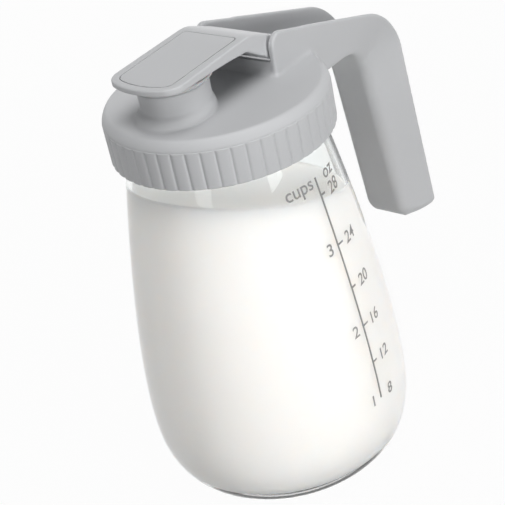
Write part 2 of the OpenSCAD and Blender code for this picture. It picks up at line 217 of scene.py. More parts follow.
@dataclass
class FieldMesher:
    """Samples a field in a box and meshes its zero surface."""

    low: Sequence[float]
    high: Sequence[float]
    step: float
    settle_rounds: int = 4
    reach: float = 0.04
    least_slope: float = 0.2

    def mesh(self, name: str, form: Field) -> Object:
        """Meshes the form and pulls every vertex onto its exact zero surface.

        Each round moves a vertex by -d g / |g|^2, d the distance and g its gradient.

        Args:
            name: Name of the new piece.
            form: The signed distance in millimetres.

        Returns:
            The linked object.
        """
        axes = [np.arange(a, b + self.step, self.step, dtype=np.float32)
                for a, b in zip(self.low, self.high)]
        x, y, z = np.meshgrid(*axes, indexing="ij", sparse=True)
        samples = np.broadcast_to(form(x, y, z), [len(axis) for axis in axes])
        cells = np.ascontiguousarray(np.clip(samples / self.step, -3, 3), dtype=np.float32)
        grid = openvdb.FloatGrid(3.0)
        grid.copyFromArray(cells)
        points, quads = grid.convertToQuads(isovalue=0.0)
        points = np.asarray(points, float) * self.step + np.asarray(self.low, float)
        return closed_piece(name, self._settled(points, form), np.asarray(quads, np.int64))

    def _settled(self, points: Array, form: Field) -> Array:
        """Moves the vertices down the field's gradient onto its zero surface."""
        reach = self.reach
        for _ in range(self.settle_rounds):
            x, y, z = points.T
            here = form(x, y, z)
            slope = np.stack([form(x + reach, y, z) - form(x - reach, y, z),
                              form(x, y + reach, z) - form(x, y - reach, z),
                              form(x, y, z + reach) - form(x, y, z - reach)], 1) / (2 * reach)
            size = np.maximum((slope ** 2).sum(1), self.least_slope)
            move = np.clip(here / size, -0.5 * self.step, 0.5 * self.step)
            points = points - move[:, None] * slope
        return points


# ---- meshes


def signed_volume(points: Array, faces: Array) -> float:
    """Volume of a closed quad mesh, positive where its faces point outwards."""
    a, b, c, d = (points[faces[:, k]] for k in range(4))
    return float((np.cross(a, b) * c).sum() + (np.cross(a, c) * d).sum()) / 6.0


def linked(name: str, data: bpy.types.ID) -> Object:
    """A new object of this data in the scene."""
    thing = bpy.data.objects.new(name, data)
    bpy.context.scene.collection.objects.link(thing)
    return thing


def make_piece(name: str, points: Array, faces: Array) -> Object:
    """Puts points in millimetres and faces into a linked object in metres.

    Args:
        name: Name of the piece.
        points: Vertices, one row each.
        faces: Rows of four indices; a quad that ends at its first index is a triangle.

    Returns:
        The new object at the origin.
    """
    mesh = bpy.data.meshes.new(name)
    degenerate = faces[:, 3] == faces[:, 0]
    listed = faces[~degenerate].tolist() + faces[degenerate][:, :3].tolist()
    mesh.from_pydata((points * MM).tolist(), [], listed)
    mesh.polygons.foreach_set("use_smooth", np.full(len(mesh.polygons), True))
    mesh.validate()
    mesh.update()
    return linked(name, mesh)


def closed_piece(name: str, points: Array, faces: Array) -> Object:
    """Makes a piece of a closed mesh, with its faces turned outwards."""
    return make_piece(name, points, faces[:, ::-1] if signed_volume(points, faces) < 0 else faces)


def on_circles(radius: Array, angle: Array, z: Array, centre_y: float = 0.0) -> Array:
    """Points (r cos t, centre_y + r sin t, z) for radii, angles and heights that broadcast."""
    return np.stack(np.broadcast_arrays(radius * np.cos(angle),
                                        centre_y + radius * np.sin(angle), z), -1)


def lofted(name: str, rings: Array, closed: bool = False) -> Object:
    """Surface through rings of equal length, whose quads join each ring to the next.

    Args:
        name: Name of the piece.
        rings: Array of rings by points by 3.
        closed: Whether the last ring joins the first; otherwise each end is drawn in to the
            middle of its ring.

    Returns:
        The linked object.
    """
    count, around = rings.shape[:2]
    points = rings.reshape(-1, 3)
    r, c = (part.ravel() for part in np.meshgrid(np.arange(count if closed else count - 1),
                                                 np.arange(around), indexing="ij"))
    r1, c1 = (r + 1) % count * around, (c + 1) % around
    faces = np.stack([r * around + c, r * around + c1, r1 + c1, r1 + c], 1)
    if not closed:
        points = np.concatenate([points, rings[:1].mean(1), rings[-1:].mean(1)])
        here, hub = np.arange(around), np.full(around, count * around)
        after, last = (here + 1) % around, (count - 1) * around
        faces = np.concatenate([faces, np.stack([here, hub, after, here], 1),
                                np.stack([last + here, last + after, hub + 1, last + here], 1)])
    return closed_piece(name, points, faces)


def revolve(name: str, profile: Array, segments: int, centre_y: float = 0.0,
            closed: bool = True) -> Object:
    """Carries a (radius, height) profile round a vertical axis, as on_circles says.

    Args:
        name: Name of the piece.
        profile: Points of the profile. A profile from axis to axis is not closed.
        segments: Number of steps round.
        centre_y: Place of the axis along Y.
        closed: Whether the profile's last point joins its first.

    Returns:
        The linked object.
    """
    angle = np.linspace(0.0, TURN, segments, endpoint=False)
    rings = on_circles(profile[:, :1], angle, profile[:, 1:], centre_y)
    return lofted(name, rings, closed)


# ---- shader tools


class Socket:
    """An output socket that adds Math nodes when Python's operators are used on it."""

    def __init__(self, nodes: "Nodes", link: Any) -> None:
        """Keeps the node builder and the output socket."""
        self.nodes, self.link = nodes, link

    def _math(self, operation: str, other: Any) -> "Socket":
        """One Math node on this socket and another or a number."""
        return self.nodes.add("ShaderNodeMath", {"operation": operation}, {0: self, 1: other})

    def __add__(self, other: Any) -> "Socket":
        """Sum."""
        return self._math("ADD", other)

    def __mul__(self, other: Any) -> "Socket":
        """Product."""
        return self._math("MULTIPLY", other)

    def __or__(self, other: Any) -> "Socket":
        """The larger one, so that a mask is set where either is."""
        return self._math("MAXIMUM", other)

    def __lt__(self, other: Any) -> "Socket":
        """Mask that is 1 where the value lies under the other."""
        return self._math("LESS_THAN", other)

    __radd__, __rmul__, __ror__ = __add__, __mul__, __or__


class Nodes:
    """Builds the node tree of a material or of the world."""

    def __init__(self, owner: Material | bpy.types.World) -> None:
        """Empties the owner's tree."""
        self.owner = owner
        owner.use_nodes = True
        self.tree = owner.node_tree
        self.tree.nodes.clear()

    def add(self, kind: str, settings: dict[str, Any], values: dict[Any, Any],
            output: int | str = 0) -> Socket:
        """Adds a node.

        Args:
            kind: The node's type.
            settings: Attributes, set first.
            values: Socket name or number to a value or another socket.
            output: Which output is returned.

        Returns:
            The output as a Socket.
        """
        node = self.tree.nodes.new(kind)
        for key, value in settings.items():
            setattr(node, key, value)
        for key, value in values.items():
            if isinstance(value, Socket):
                self.tree.links.new(value.link, node.inputs[key])
            else:
                node.inputs[key].default_value = value
        return Socket(self, node.outputs[output] if len(node.outputs) else None)

    def place(self, scale: Point = (1.0, 1.0, 1.0)) -> Socket:
        """Object coordinates, stretched by a Mapping node."""
        where = self.add("ShaderNodeTexCoord", {}, {}, "Object")
        return self.add("ShaderNodeMapping", {}, {"Vector": where, "Scale": scale})

    def noise(self, where: Socket, scale: float, detail: float) -> Socket:
        """Noise from 0 to 1 at this scale, in cycles a metre."""
        return self.add("ShaderNodeTexNoise", {},
                        {"Vector": where, "Scale": scale, "Detail": detail})

    def tint(self, share: Socket, low: Sequence[float], high: Sequence[float]) -> Socket:
        """Colour between two by a share."""
        return self.add("ShaderNodeMix", {"data_type": "RGBA"},
                        {0: share, 6: (*low, 1), 7: (*high, 1)}, 2)

    def bump(self, height: Socket, distance: float, strength: float) -> Socket:
        """Normal from a height field, its distance in metres."""
        return self.add("ShaderNodeBump", {},
                        {"Height": height, "Distance": distance, "Strength": strength})

    def output(self, shader: Socket) -> Any:
        """Ends the tree in this shader and gives back its owner."""
        world = isinstance(self.owner, bpy.types.World)
        self.add("ShaderNodeOutputWorld" if world else "ShaderNodeOutputMaterial", {},
                 {"Surface": shader})
        return self.owner


@dataclass(frozen=True)
class Finish:
    """A finish whose colour drifts between two tones of it, by a cloudy noise.

    A tone is the colour times a number. The cloud has a scale in cycles a metre and a detail.
    """

    name: str
    colour: Colour
    roughness: float
    tones: Pair
    cloud: Pair

    def surface(self, nodes: Nodes, where: Socket, cloud: Socket) -> dict[str, Any]:
        """Values of the shader's sockets other than its colour."""
        return {"Roughness": self.roughness}

    def material(self) -> Material:
        """Builds the material."""
        nodes = Nodes(bpy.data.materials.new(self.name))
        where = nodes.place()
        cloud = nodes.noise(where, *self.cloud)
        low, high = ([tone * c for c in self.colour] for tone in self.tones)
        return nodes.output(nodes.add("ShaderNodeBsdfPrincipled", {}, {
            "Base Color": nodes.tint(cloud, low, high), **self.surface(nodes, where, cloud)}))


@dataclass(frozen=True)
class ScaleInk(Finish):
    """Grey screen-printing ink, slightly uneven where it was pressed on."""

    colour: Colour = (0.25, 0.245, 0.24)
    roughness: float = 0.6
    tones: Pair = (1.0, 1.25)
    cloud: Pair = (900.0, 2.0)


@dataclass(frozen=True)
class MouldedPlastic(Finish):
    """Satin grey moulding with a faint grain and a slightly uneven colour."""

    roughness: float = 0.5
    tones: Pair = (0.975, 1.0)
    cloud: Pair = (38.0, 3.0)
    roughness_drift: float = 0.06
    grain: Pair = (1400.0, 1.0)
    grain_height: float = 0.000012

    def surface(self, nodes: Nodes, where: Socket, cloud: Socket) -> dict[str, Any]:
        """Uneven gloss over a fine grain."""
        start = self.roughness - self.roughness_drift / 2
        grain = nodes.noise(where, *self.grain)
        return {"Roughness": start + self.roughness_drift * cloud, "Specular IOR Level": 0.36,
                "IOR": 1.47, "Normal": nodes.bump(grain, self.grain_height, 0.5)}


@dataclass(frozen=True)
class Silicone(Finish):
    """Soft translucent silicone with a dull sheen."""

    colour: Colour = (0.56, 0.565, 0.575)
    roughness: float = 0.48
    tones: Pair = (0.95, 1.0)
    cloud: Pair = (120.0, 2.0)
    roughness_drift: float = 0.08

    def surface(self, nodes: Nodes, where: Socket, cloud: Socket) -> dict[str, Any]:
        """Light that spreads a little under a soft, uneven skin."""
        return {"Roughness": self.roughness + self.roughness_drift * cloud, "IOR": 1.41,
                "Subsurface Weight": 0.25, "Subsurface Scale": 0.002,
                "Normal": nodes.bump(cloud, 0.00002, 0.4)}


@dataclass(frozen=True)
class MilkFinish(Finish):
    """Milk: white, a little warm, with light that spreads inside it."""

    colour: Colour = (0.77, 0.752, 0.735)
    roughness: float = 0.4
    tones: Pair = (0.985, 1.0)
    cloud: Pair = (16.0, 2.0)

    def surface(self, nodes: Nodes, where: Socket, cloud: Socket) -> dict[str, Any]:
        """Light that spreads deep, red the furthest."""
        return {"Roughness": self.roughness, "IOR": 1.35, "Specular IOR Level": 0.3,
                "Subsurface Weight": 1.0, "Subsurface Scale": 0.03,
                "Subsurface Radius": (1.0, 0.9, 0.8)}


@dataclass(frozen=True)
class ClearGlass:
    """Clear soda-lime glass with very faint waves from its mould."""

    name: str
    colour: Colour = (0.97, 0.985, 0.98)
    shadow_colour: Colour = (0.95, 0.96, 0.96)
    index: float = 1.3

    def material(self) -> Material:
        """Builds the material; lamp light passes it straight, so it lights what is inside."""
        nodes = Nodes(bpy.data.materials.new(self.name))
        wave = nodes.noise(nodes.place((1.0, 1.0, 0.35)), 22.0, 1.0)
        glass = nodes.add("ShaderNodeBsdfPrincipled", {}, {
            "Base Color": (*self.colour, 1), "Roughness": 0.0, "IOR": self.index,
            "Transmission Weight": 1.0, "Normal": nodes.bump(wave, 0.0003, 0.12)})
        clear = nodes.add("ShaderNodeBsdfTransparent", {}, {"Color": (*self.shadow_colour, 1)})
        shadow = nodes.add("ShaderNodeLightPath", {}, {}, "Is Shadow Ray")
        return nodes.output(nodes.add("ShaderNodeMixShader", {}, {0: shadow, 1: glass, 2: clear}))


CAP_GREY = (0.562, 0.569, 0.581)


@dataclass
class Finishes:
    """All finishes of the pitcher, each built once."""

    lid: Material = field(
        default_factory=MouldedPlastic("lid_moulding", (0.56, 0.567, 0.579)).material)
    cap: Material = field(default_factory=MouldedPlastic("cap_moulding", CAP_GREY).material)
    plate: Material = field(
        default_factory=MouldedPlastic("cap_plate_moulding", CAP_GREY, 0.52).material)
    silicone: Material = field(default_factory=Silicone("seal_silicone").material)
    glass: Material = field(default_factory=ClearGlass("jar_glass").material)
    milk: Material = field(default_factory=MilkFinish("milk").material)
    ink: Material = field(default_factory=ScaleInk("scale_ink").material)


def dress(piece: Object, material: Material, body: Body,
          replaces: str | None = None) -> Object:
    """Gives a piece its material and body, and hides the node it stands for.

    Args:
        piece: The finished piece.
        material: Its material.
        body: The body it rides on.
        replaces: The CAD node it stands for, if any.

    Returns:
        The piece.
    """
    piece.data.materials.clear()
    piece.data.materials.append(material)
    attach(piece, body.value)
    if replaces:
        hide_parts(replaces)
    log.info("%s rides on %s, %d faces", piece.name, body.value, len(piece.data.polygons))
    return piece


@dataclass
class Layout:
    """Places that several sub-assemblies share."""

    shoulder_z: float = 143.8
    neck_top: float = 157.6
    ceiling_z: float = 159.0
    thread_lead: float = 4.0
    thread_depth: float = 1.9
    hinge_y: float = 18.2
    hinge_z: float = 172.2
    spout_y: float = -19.2
    spout_r: float = 13.0


# ---- jar, milk, scale


@dataclass
class Jar(Layout):
    """The glass jar, its thread and the milk in it."""

    base_r: float = 33.5
    belly_r: float = 52.9
    belly_z: float = 31.4
    corner_power: float = 2.65
    shoulder_r: float = 37.2
    belly_hold: float = 0.24
    shoulder_hold: Pair = (0.48, 0.67)
    wall: float = 2.0
    base_t: float = 5.0
    punt_h: float = 1.2
    neck_r: float = 36.2
    neck_up: float = 2.4
    thread_z: float = 149.0
    milk_z: float = 122.05
    milk_slope: Pair = (0.019, -0.3225)
    milk_overlap: float = 0.06
    milk_climb: float = 0.9

    def corner(self, r0: float, r1: float, z0: float, count: int) -> Array:
        """Lower corner from the base to the belly, a quarter of a superellipse."""
        a = np.linspace(0.0, math.pi / 2, count)
        power = 2.0 / self.corner_power
        return np.stack([r0 + (r1 - r0) * np.sin(a) ** power,
                         self.belly_z - (self.belly_z - z0) * np.abs(np.cos(a)) ** power], 1)

    def side(self, inset: float, count: int) -> Array:
        """Side from the belly to the shoulder, a cubic Bezier moved inwards by the inset.

        Its two inner points lie at shares of the rise, and the second at a share of the fall.
        """
        up = self.shoulder_z - self.belly_z
        fall = self.belly_r - self.shoulder_r
        inward, upward = self.shoulder_hold
        hold = np.array([[self.belly_r, self.belly_z],
                         [self.belly_r, self.belly_z + self.belly_hold * up],
                         [self.belly_r - inward * fall, self.belly_z + upward * up],
                         [self.shoulder_r, self.shoulder_z]]) - [inset, 0]
        t = np.linspace(0.0, 1.0, count)[:, None]
        return ((1 - t) ** 3 * hold[0] + 3 * t * (1 - t) ** 2 * hold[1]
                + 3 * t * t * (1 - t) * hold[2] + t ** 3 * hold[3])

    def outer_radius(self, z: Array) -> Array:
        """Outside radius at a height between belly and shoulder."""
        side = np.concatenate([self.corner(self.base_r, self.belly_r, 0.0, 60)[:-1],
                               self.side(0.0, 90)])
        return np.interp(z, side[:, 1], side[:, 0])

    def glass(self) -> Object:
        """The jar's wall, base and neck as one closed revolve."""
        foot = softened([[0.4, self.punt_h], [self.base_r - 9, self.punt_h],
                         [self.base_r - 5, 0.0], [self.base_r - 2, 0.0]], 3)
        outside = np.concatenate([self.corner(self.base_r, self.belly_r, 0.0, 40),
                                  self.side(0.0, 56)[1:]])
        bore, low, top = self.neck_r - self.wall, self.shoulder_z + self.neck_up, self.neck_top
        neck = softened([[self.shoulder_r, self.shoulder_z], [self.neck_r, low],
                         [self.neck_r, top - 1], [self.neck_r - 0.4, top], [bore + 0.4, top],
                         [bore, top - 1], [bore, low],
                         [self.shoulder_r - self.wall, self.shoulder_z]], 3)
        inside = np.concatenate([self.side(self.wall, 56)[-2::-1],
                                 self.corner(self.base_r - 4, self.belly_r - self.wall,
                                             self.base_t, 40)[-2::-1]])
        floor = [[self.base_r - 12, self.base_t - 0.2], [0.4, self.base_t - 0.2]]
        profile = np.concatenate([foot, outside, neck[1:-1], inside, floor])
        return revolve("jar_glass", profile, 192, closed=False)

    def milk(self) -> Object:
        """The milk: it wets the wall, and its level lies as in a jar that is held to pour.

        Its level is z0 + a x + b y. The edge climbs the wall by h exp(-d / h), with h the climb
        and d the distance from the wall.
        """
        inset, climb = self.wall - self.milk_overlap, self.milk_climb
        side = self.side(inset, 200)
        angle = np.linspace(0.0, TURN, 192, endpoint=False)
        lean = self.milk_slope[0] * np.cos(angle) + self.milk_slope[1] * np.sin(angle)
        level = np.full(angle.size, self.milk_z)
        for _ in range(30):
            edge = np.interp(level, side[:, 1], side[:, 0])
            level = self.milk_z + lean * edge
        bottom = self.base_t - self.milk_overlap
        low = np.concatenate([[[0.4, bottom]], self.corner(self.base_r - 4, self.belly_r - inset,
                                                           bottom, 40)])
        share = np.linspace(0.0, 1.0, 80)[1:, None]
        wall_z = self.belly_z + share * (level + climb - self.belly_z)
        wall_r = np.interp(wall_z, side[:, 1], side[:, 0])
        from_wall = np.concatenate([np.linspace(0.0, 3.0, 13)[1:], [6, 12, 20, 28, 36]])[:, None]
        top_r = np.maximum(edge - from_wall, 0.4)
        top_z = self.milk_z + lean * top_r + climb * np.exp(-from_wall / climb)
        ones = np.ones_like(angle)
        radius = np.concatenate([low[:, :1] * ones, wall_r, top_r])
        height = np.concatenate([low[:, 1:] * ones, wall_z, top_z])
        return lofted("milk_fill", on_circles(radius, angle, height))

    def build(self, finishes: Finishes) -> None:
        """Makes and dresses the jar's pieces."""
        dress(self.glass(), finishes.glass, Body.JAR, "jar")
        ridge = thread_ridge("jar_thread", self, self.neck_r, 1.0, self.thread_z)
        dress(ridge, finishes.glass, Body.JAR)
        dress(self.milk(), finishes.milk, Body.JAR)


def thread_ridge(name: str, layout: Layout, root_r: float, side: float,
                 start_z: float) -> Object:
    """A helical ridge of rounded section whose ends run into the wall.

    The section is a half cosine of the thread's depth, 2 mm wide, and it follows
    (r cos t, r sin t, start + lead t / 2 pi), shrinking over the last 25 degrees.

    Args:
        name: Name of the piece.
        layout: The thread's lead and depth.
        root_r: Radius of the wall it stands on.
        side: 1 where it stands outwards, -1 inwards.
        start_z: Height of its lower end.

    Returns:
        The linked object.
    """
    turn = np.linspace(0.0, TURN, 145)
    run_in = np.clip(np.minimum(turn, turn[-1] - turn) / math.radians(25.0), 0.03, 1.0)
    across, sunk = np.linspace(-1.0, 1.0, 11), [-0.3, -0.3]
    height = np.concatenate([layout.thread_depth * np.cos(across * math.pi / 2) ** 0.7, sunk])
    along = np.concatenate([across, [0.9, -0.9]])
    radius = root_r + side * height * np.where(height > 0, run_in[:, None], 1.0)
    rise = start_z + layout.thread_lead * turn[:, None] / TURN + along
    return lofted(name, on_circles(radius, turn[:, None], rise))


class Font(Enum):
    """Sizes of the scale's lettering, in millimetres of its nominal height."""

    NUMBER = 6.9
    WORD = 7.3


@dataclass
class Scale:
    """The printed scale: a line, its marks, the ounce and the cup numbers.

    A mark is (height, number, length, place of the number), a word (name, text, size, place,
    height). Places are arc lengths from the line.
    """

    jar: Jar
    azimuth: float = 1.0
    lift: float = 0.05
    sunk: float = 0.02
    line_w: float = 0.86
    line_top: float = 132.2
    fattened: float = 0.05
    marks: tuple[tuple[float, str, float, float], ...] = (
        (125.1, "28", 2.5, 8.7), (104.8, "24", 3.2, 8.6), (86.6, "20", 2.5, 8.6),
        (69.8, "16", 3.2, 8.6), (53.3, "12", 2.5, 8.55), (36.8, "8", 0.0, 6.9))
    words: tuple[tuple[str, str, Font, float, float], ...] = (
        ("cups_3", "3", Font.NUMBER, -4.45, 105.1), ("cups_2", "2", Font.NUMBER, -4.45, 69.9),
        ("cups_1", "1", Font.NUMBER, -4.45, 37.8), ("word_oz", "oz", Font.WORD, 8.4, 130.6),
        ("word_cups", "cups", Font.WORD, -8.6, 129.9))

    def on_glass(self, across: Array, z: Array, lift: float | Array) -> Array:
        """Points on the jar: across is an arc length from the scale's line, z a height."""
        radius = self.jar.outer_radius(z)
        angle = math.radians(self.azimuth) + across / radius
        return on_circles(radius + lift, angle, z)

    def strip(self, name: str, a: Pair, b: Pair,
              width: float) -> Object:
        """A thin closed strip of ink from a to b, both (across, z).

        Args:
            name: Name of the piece.
            a: Start of the strip's centre line.
            b: End of the strip's centre line.
            width: Width of the strip.

        Returns:
            The linked object.
        """
        start, end = np.array(a), np.array(b)
        way = (end - start) / np.linalg.norm(end - start)
        normal = np.array([-way[1], way[0]]) * width / 2
        steps = np.linspace(0.0, 1.0, max(2, int(np.linalg.norm(end - start) / 1.5)))
        centre = start + steps[:, None] * (end - start)
        corners = [(centre + normal, self.lift), (centre - normal, self.lift),
                   (centre - normal, -self.sunk), (centre + normal, -self.sunk)]
        rings = np.stack([self.on_glass(p[:, 0], p[:, 1], lift) for p, lift in corners], 1)
        return lofted(name, rings)

    def lettering(self, name: str, words: str, font: Font, across: float,
                  z: float) -> Object:
        """Plain text made a mesh, cut fine and bent onto the glass.

        Args:
            name: Name of the piece.
            words: The characters.
            font: Their size.
            across: Arc length of the text's centre from the line.
            z: Height of the text's centre.

        Returns:
            The linked object.
        """
        curve = bpy.data.curves.new(name, "FONT")
        curve.body, curve.size = words, font.value
        curve.align_x, curve.align_y = "CENTER", "CENTER"
        curve.extrude, curve.offset = self.lift - self.sunk, self.fattened
        curve.resolution_u = 6
        text = linked(name, curve)
        bpy.context.view_layer.update()
        mesh = bpy.data.meshes.new_from_object(text)
        bpy.data.objects.remove(text)
        mesh.name = name
        flat = np.zeros(len(mesh.vertices) * 3)
        mesh.vertices.foreach_get("co", flat)
        flat = flat.reshape(-1, 3)
        flat = flat - (flat.min(0) + flat.max(0)) / 2
        height = self.jar.outer_radius(np.array([z - 1.0, z + 1.0]))
        lean = math.cos(math.atan2(height[0] - height[1], 2.0))
        bent = self.on_glass(across + flat[:, 0], z + flat[:, 1] * lean,
                             flat[:, 2] + self.lift - self.sunk)
        mesh.vertices.foreach_set("co", (bent * MM).ravel())
        mesh.update()
        return linked(name, mesh)

    def build(self, finishes: Finishes) -> None:
        """Prints the line, marks, numbers and words."""
        bottom = self.marks[-1][0] - 0.2
        pieces = [self.strip("scale_line", (0.0, self.line_top), (0.0, bottom), self.line_w)]
        for z, number, length, across in self.marks:
            if length:
                pieces.append(self.strip(f"scale_mark_{number}", (0.1, z), (length, z),
                                         self.line_w * 0.9))
            pieces.append(self.lettering(f"scale_number_{number}", number, Font.NUMBER,
                                         across, z - 0.2))
        for name, text, font, across, z in self.words:
            pieces.append(self.lettering(f"scale_{name}", text, font, across, z))
        for piece in pieces:
            dress(piece, finishes.ink, Body.JAR)


# ---- lid, spout, handle


@dataclass
class Handle(Layout):
    """The channel-section handle as a distance field."""

    top_up: float = 6.2
    front_in: float = 3.7
    front_r: float = 5.0
    arm_z: float = 149.5
    arm_slope: float = 17.8
    half_w: float = 19.0
    grip_half_w: float = 15.5
    taper_run: float = 60.8
    wall: float = 2.4
    grip_lean: float = 8.45
    grip_y: float = 75.3
    grip_depth: float = 19.25
    back_lean: float = 6.95
    bend_r: float = 22.0
    outer_r: float = 15.0
    drop: float = 93.9
    arm_splay: float = 3.0
    grip_splay: float = 18.0
    arm_nose: float = 2.0
    grip_nose: float = 3.7
    end_round: float = 8.0
    heel_r: float = 4.5
    end_lean: float = 4.0
    end_wall: float = 3.0
    end_run: float = 12.0
    splay_depth: float = 14.0
    hollow_round: float = 0.8
    hollow_end_round: float = 2.0
    mouth_round: float = 0.3
    lip_round: float = 0.75

    def __post_init__(self) -> None:
        """Places the bend's centre, the grip's end and the two edge lines."""
        self.turn = math.radians(90.0 - self.grip_lean)
        lean = math.radians(self.grip_lean)
        self.bend_y = self.grip_y - self.bend_r * (
            math.sin(self.turn) - math.tan(lean) * (1 - math.cos(self.turn)))
        self.bend_z = self.arm_z - self.bend_r
        slope, back = math.radians(self.arm_slope), math.radians(self.back_lean)
        self.arm_normal = (math.sin(slope), math.cos(slope))
        self.back_normal = (math.cos(back), math.sin(back))
        self.down = (math.sin(lean), -math.cos(lean))
        tip = math.radians(self.end_lean)
        self.end_normal = (math.sin(tip), -math.cos(tip))
        fall = self.bend_r * (1 - math.cos(self.turn))
        run = (self.drop - fall) / math.cos(lean)
        self.end_y = self.bend_y + self.bend_r * math.sin(self.turn) + run * self.down[0]
        self.end_z = self.arm_z - fall + run * self.down[1]
        self.front_y = self.hinge_y - self.front_in + self.front_r
        self.front_z = self.hinge_z + (self.top_up - self.front_r - (self.front_r - self.front_in)
                                       * self.arm_normal[0]) / self.arm_normal[1]

    def field(self, x: Array, y: Array, z: Array) -> Array:
        """Signed distance of the handle.

        The web's outer face is a line, an arc and a line; v is the height over it and s the
        share of the bend passed. The open edge is two lines with a rounded corner; u is the
        depth under it. The sides stand at w - u tan(splay). The shell is the outer form less
        the same form moved in by the wall's thickness.
        """
        oy, oz = y - self.bend_y, z - self.bend_z
        angle = np.clip(np.arctan2(oy, oz), 0.0, self.turn)
        v = oy * np.sin(angle) + oz * np.cos(angle) - self.bend_r
        share = angle / self.turn
        hy, hz = y - self.hinge_y, z - self.hinge_z
        top = hy * self.arm_normal[0] + hz * self.arm_normal[1] - self.top_up
        rear = ((y - self.grip_y - self.grip_depth) * self.back_normal[0]
                + (z - self.arm_z) * self.back_normal[1])
        edge = rounded_cut(top, rear, self.outer_r)
        splay = np.radians(blend_between(self.arm_splay, self.grip_splay, share))
        nose = blend_between(self.arm_nose, self.grip_nose, share)
        taper = (self.half_w - self.grip_half_w) / self.taper_run
        width = np.maximum(self.half_w - (y - v * np.sin(angle) - self.hinge_y) * taper,
                           self.grip_half_w)
        depth = np.maximum(-edge, -self.splay_depth)
        side = (np.abs(x) - width + depth * np.tan(splay)) * np.cos(splay)
        end = (y - self.end_y) * self.end_normal[0] + (z - self.end_z) * self.end_normal[1]
        round_off = blend_between(self.end_round, self.heel_r, np.clip(v / self.end_run, 0.0, 1.0))
        outer = rounded_cut(rounded_cut(-v, side, nose), end, round_off)
        hollow = rounded_cut(self.wall - v, side + self.wall,
                             np.maximum(nose - self.wall, self.hollow_round))
        hollow = rounded_cut(hollow, end + self.end_wall, self.hollow_end_round)
        shell = rounded_cut(outer, -hollow, self.mouth_round)
        shell = rounded_cut(shell, rounded_cut(edge, end, self.heel_r), self.lip_round)
        fy, fz = y - self.front_y, z - self.front_z
        ahead = fy * self.arm_normal[1] - fz * self.arm_normal[0] < 0
        front = np.where(fz < 0, -self.front_r - fy,
                         np.where(ahead, np.hypot(fy, fz) - self.front_r, top))
        return rounded_cut(shell, front, self.lip_round)


